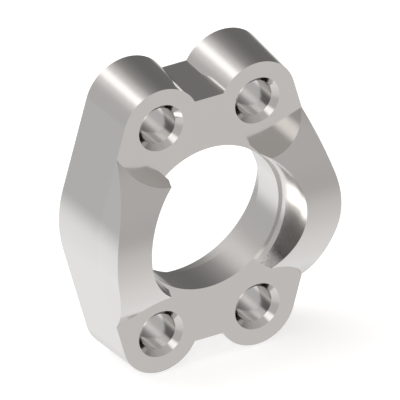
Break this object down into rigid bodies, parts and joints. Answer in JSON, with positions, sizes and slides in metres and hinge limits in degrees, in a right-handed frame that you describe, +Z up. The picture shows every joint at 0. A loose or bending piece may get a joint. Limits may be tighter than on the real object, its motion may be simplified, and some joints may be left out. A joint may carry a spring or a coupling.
{
  "type": "one-piece hydraulic flange clamp",
  "caption": "One-piece steel clamp with tapped ears and a flared bore that pulls a flanged hydraulic hose or tube head down onto a port face.",
  "frame": {"origin": "middle of the mounting face, on the bore axis", "axes": "+Y along the bore axis out of the mounting face, +X along the short bolt pitch, +Z up along the long bolt pitch"},
  "size_m": [0.0532, 0.0224, 0.0664],
  "materials": {
    "steel": "bright machined steel, smooth and nearly polished"
  },
  "bodies": {
    "root": {"flange_body": "steel"}
  },
  "joints": []
}
